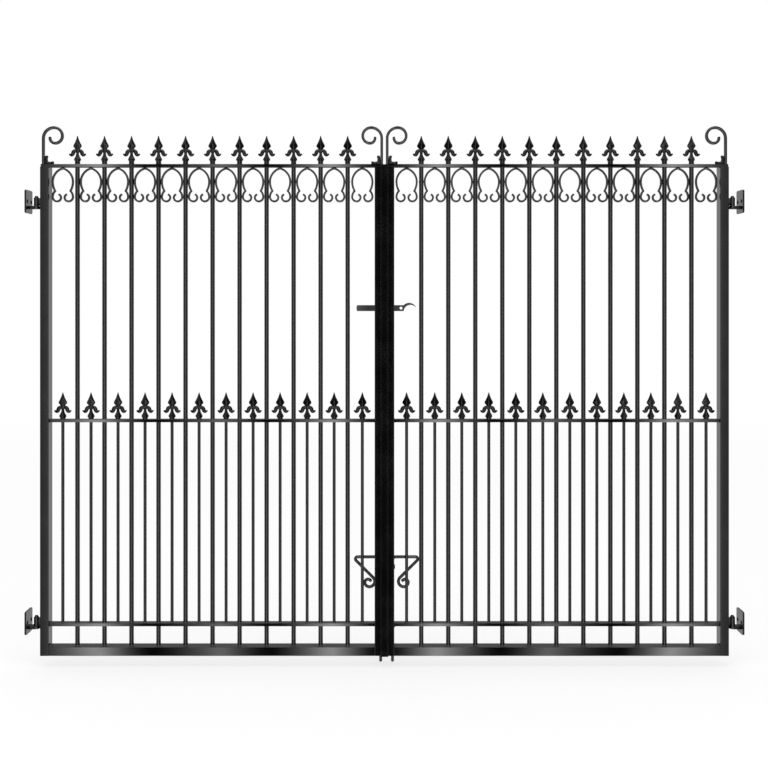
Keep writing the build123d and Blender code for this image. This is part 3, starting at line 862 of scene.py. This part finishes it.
def softened(node, body, width, material=IRONWORK):
    bm = bmesh.new()
    bm.from_mesh(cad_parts[node].data)
    bmesh.ops.remove_doubles(bm, verts=bm.verts, dist=SAME_POINT)
    bmesh.ops.dissolve_limit(bm, angle_limit=math.radians(FLAT_ANGLE), verts=bm.verts, edges=bm.edges)
    inner = [edge for edge in bm.edges if len(edge.link_faces) == 2]
    sharp = [edge for edge in inner if edge.calc_face_angle(0) > math.radians(SHARP_ANGLE)]
    bmesh.ops.bevel(
        bm,
        geom=sharp,
        offset=width * MM,
        segments=EDGE_SEGMENTS,
        profile=0.5,
        affect="EDGES",
        clamp_overlap=True,
    )
    piece = make_piece(bm, f"{node}_edged", body, material, [node], smooth=45)
    weighted = piece.modifiers.new("weighted_normals", "WEIGHTED_NORMAL")
    weighted.keep_sharp = True


def softened_nodes():
    for side in SIDES:
        for node, width in LEAF_NODES.items():
            softened(f"{side}_{node}", f"{side}_leaf", width)
        for level in ("lower", "upper"):
            softened(f"{level}_{side}_bracket", "root", BRACKET_EDGE)
    softened("latch_rest", "left_leaf", LATCH_REST_EDGE)
    softened("latch_pivot", "right_leaf", LATCH_PIVOT_EDGE)
    softened("closing_strip", "right_leaf", CLOSING_STRIP_EDGE)
    softened("latch_lever", "lever", LATCH_LEVER_EDGE, FITTING)


# Stage: pale floor, white surroundings, a soft lamp overhead and strip lights behind the camera
FLOOR_DROP = 2 * MM
FLOOR_RADIUS = 9.0
FLOOR_SIDES = 96
FLOOR_PALE = 0.94
# Share of plain white that the camera sees in the floor, which leaves its shadows faint
FLOOR_GLOW = 0.7
# Distances from the middle at which the floor starts to clear and is clear
FLOOR_FADE = (2.6, 0.95 * FLOOR_RADIUS)
LIGHT_WALL_Y = -7.0
LIGHT_WALL_Z = 0.6
LIGHT_WALL_SIZE = (26.0, 16.0)
# The light wall, as (distance from the middle in m, share of the brightest strip as the eye sees it)
LIGHT_WALL_STRIPS = [
    (0, 0),
    (0.05, 0),
    (0.56, 1),
    (1.23, 0),
    (1.75, 0.7),
    (2.52, 0),
    (3.08, 1),
    (3.66, 0.33),
    (4.6, 0.14),
    (6.0, 0.08),
    (12.9, 0.08),
]
LIGHT_WALL_PEAK = 6.8
EYE_GAMMA = 2.2
# The world's strength for all rays but those that show it as plain white
WORLD_FILL = 0.92
LAMP_SIZE = (4.0, 2.5)
LAMP_POWER = 60
LAMP_Y = -1.2
LAMP_Z = 4.2
LAMP_TILT = -16


def floor():
    bpy.ops.mesh.primitive_circle_add(vertices=FLOOR_SIDES, radius=FLOOR_RADIUS, fill_type="NGON")
    ground = bpy.context.object
    ground.name = "floor"
    ground.location = (MIDDLE_X, 0, cad_box[0][2] - FLOOR_DROP)
    material = bpy.data.materials.new("pale_floor")
    tree = Nodes(material)
    diffuse = tree.add("ShaderNodeBsdfDiffuse", Color=(FLOOR_PALE, FLOOR_PALE, FLOOR_PALE, 1))
    glow = tree.add("ShaderNodeEmission", Color=(1, 1, 1, 1), Strength=1)
    pale = tree.add("ShaderNodeMixShader")
    seen = tree.add("ShaderNodeLightPath").outputs["Is Camera Ray"]
    tree.link(tree.math("MULTIPLY", seen, FLOOR_GLOW), pale.inputs[0])
    tree.link(diffuse.outputs[0], pale.inputs[1])
    tree.link(glow.outputs[0], pale.inputs[2])
    clear = tree.add("ShaderNodeBsdfTransparent")
    mix = tree.add("ShaderNodeMixShader")
    output = tree.add("ShaderNodeOutputMaterial")
    coords = tree.add("ShaderNodeTexCoord").outputs["Object"]
    length = tree.add("ShaderNodeVectorMath", operation="LENGTH")
    tree.link(coords, length.inputs[0])
    fade = tree.spread(length.outputs["Value"], 0, 1, *FLOOR_FADE)
    tree.link(fade, mix.inputs[0])
    tree.link(pale.outputs[0], mix.inputs[1])
    tree.link(clear.outputs[0], mix.inputs[2])
    tree.link(mix.outputs[0], output.inputs[0])
    ground.data.materials.append(material)
    ground.visible_glossy = False


def light_wall():
    """A wall of vertical strip lights that only reflections see."""
    bpy.ops.mesh.primitive_plane_add(size=1)
    wall = bpy.context.object
    wall.name = "light_wall"
    wall.scale = (LIGHT_WALL_SIZE[0], LIGHT_WALL_SIZE[1], 1)
    wall.rotation_euler = (math.radians(-90), 0, 0)
    wall.location = (MIDDLE_X, LIGHT_WALL_Y, LIGHT_WALL_Z)
    material = bpy.data.materials.new("strip_lights")
    tree = Nodes(material)
    coords = tree.add("ShaderNodeTexCoord").outputs["Object"]
    split = tree.add("ShaderNodeSeparateXYZ")
    tree.link(coords, split.inputs[0])
    away = tree.math("ABSOLUTE", tree.math("MULTIPLY", split.outputs["X"], LIGHT_WALL_SIZE[0]), 0)
    share = tree.math("DIVIDE", away, LIGHT_WALL_SIZE[0] / 2)
    ramp = tree.add("ShaderNodeValToRGB")
    # A ramp starts with two strips: the first stays, at the middle, and the rest come in order
    strips = ramp.color_ramp.elements
    strips.remove(strips[1])
    for distance, brightness in LIGHT_WALL_STRIPS[1:]:
        strip = strips.new(distance / (LIGHT_WALL_SIZE[0] / 2))
        strip.color = (brightness, brightness, brightness, 1)
    strips[0].color = (0, 0, 0, 1)
    tree.link(share, ramp.inputs[0])
    radiance = tree.math("POWER", ramp.outputs[0], EYE_GAMMA)
    emission = tree.add("ShaderNodeEmission")
    tree.link(tree.math("MULTIPLY", radiance, LIGHT_WALL_PEAK), emission.inputs["Strength"])
    output = tree.add("ShaderNodeOutputMaterial")
    tree.link(emission.outputs[0], output.inputs[0])
    wall.data.materials.append(material)
    wall.visible_camera = False
    wall.visible_diffuse = False
    wall.visible_shadow = False
    wall.visible_transmission = False


def world_and_lamp():
    world = bpy.data.worlds.new("studio")
    bpy.context.scene.world = world
    tree = Nodes(world)
    path = tree.add("ShaderNodeLightPath").outputs
    seen = tree.math("MAXIMUM", path["Is Camera Ray"], path["Is Glossy Ray"])
    seen = tree.math("MAXIMUM", seen, path["Is Transmission Ray"])
    strength = tree.spread(seen, WORLD_FILL, 1, 0, 1)
    background = tree.add("ShaderNodeBackground", Color=(1, 1, 1, 1))
    tree.link(strength, background.inputs["Strength"])
    output = tree.add("ShaderNodeOutputWorld")
    tree.link(background.outputs[0], output.inputs[0])
    data = bpy.data.lights.new("overhead", "AREA")
    data.shape = "RECTANGLE"
    data.size, data.size_y = LAMP_SIZE
    data.energy = LAMP_POWER
    lamp = bpy.data.objects.new("overhead", data)
    lamp.location = (MIDDLE_X, LAMP_Y, LAMP_Z)
    lamp.rotation_euler = (math.radians(LAMP_TILT), 0, 0)
    bpy.context.scene.collection.objects.link(lamp)


def main():
    bpy.context.scene.view_settings.view_transform = "Standard"
    add_camera()
    world_and_lamp()
    floor()
    light_wall()
    softened_nodes()
    flats = [LOWER_FLAT, MIDDLE_FLAT, TOP_FLAT]
    round_bars("main_bars", BAR_XS, BAR_RADIUS, RAIL_TOP, TOP_SEAT, flats)
    round_bars("dog_bars", BAY_XS, DOG_RADIUS, LOWER_FLAT[1], DOG_SEAT, [MIDDLE_FLAT])
    spearheads("spearheads", MAIN_BUD_LIFT, BAR_XS, TOP_SEAT)
    spearheads("dog_spearheads", DOG_BUD_LIFT, BAY_XS, DOG_SEAT)
    arch_rings()
    corner_scrolls()
    corner_leaves()
    frame_welds()
    drop_bolt(-1)
    drop_bolt(1)


main()
